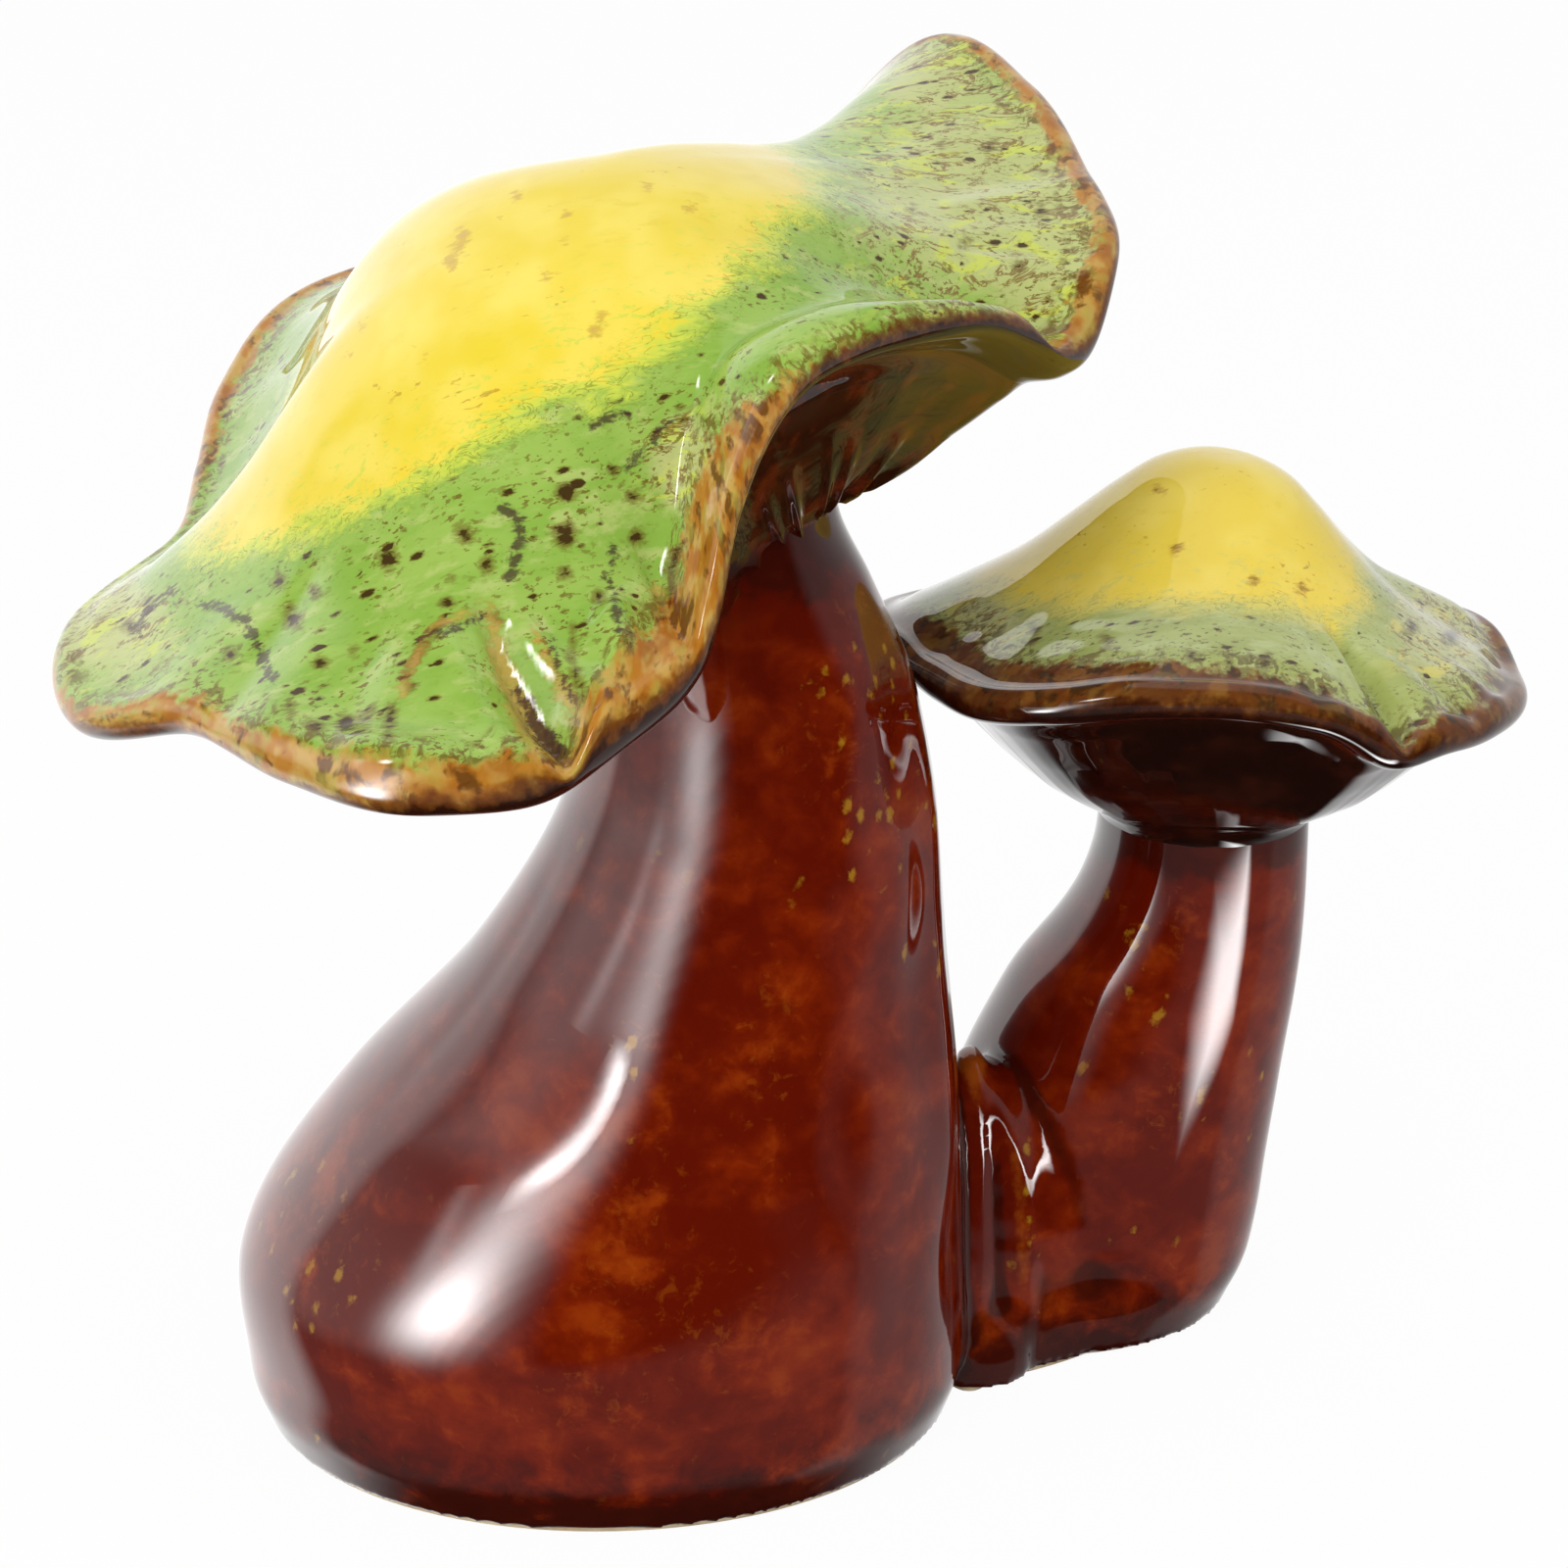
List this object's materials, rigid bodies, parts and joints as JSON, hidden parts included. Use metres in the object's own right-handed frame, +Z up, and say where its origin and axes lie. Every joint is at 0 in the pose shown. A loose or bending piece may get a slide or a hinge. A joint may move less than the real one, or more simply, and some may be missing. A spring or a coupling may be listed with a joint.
{
  "type": "ceramic mushroom ornament",
  "caption": "Glossy glazed ornament of a large and a small waved mushroom that grow from one foot, to stand on a shelf or table.",
  "frame": {"origin": "on the table below the middle of the two stems, on the face that the ornament rests on", "axes": "+X to the ornament's right as its front is seen, from the large mushroom to the small one; +Y to the back; +Z up"},
  "size_m": [0.1499, 0.1076, 0.1381],
  "materials": {
    "crown": "glossy transparent glaze, yellow over green with a brown edge",
    "gills": "glossy dark brown glaze",
    "stem": "glossy tortoiseshell brown glaze",
    "foot": "unglazed cream body below, glazed above"
  },
  "bodies": {
    "root": {"foot_slab": "foot", "large_stem": "stem", "large_gills": "gills", "large_cap": "crown", "small_stem": "stem", "small_gills": "gills", "small_cap": "crown", "root_fold_left": "stem", "root_fold_middle": "stem", "root_fold_right": "stem"}
  },
  "joints": []
}
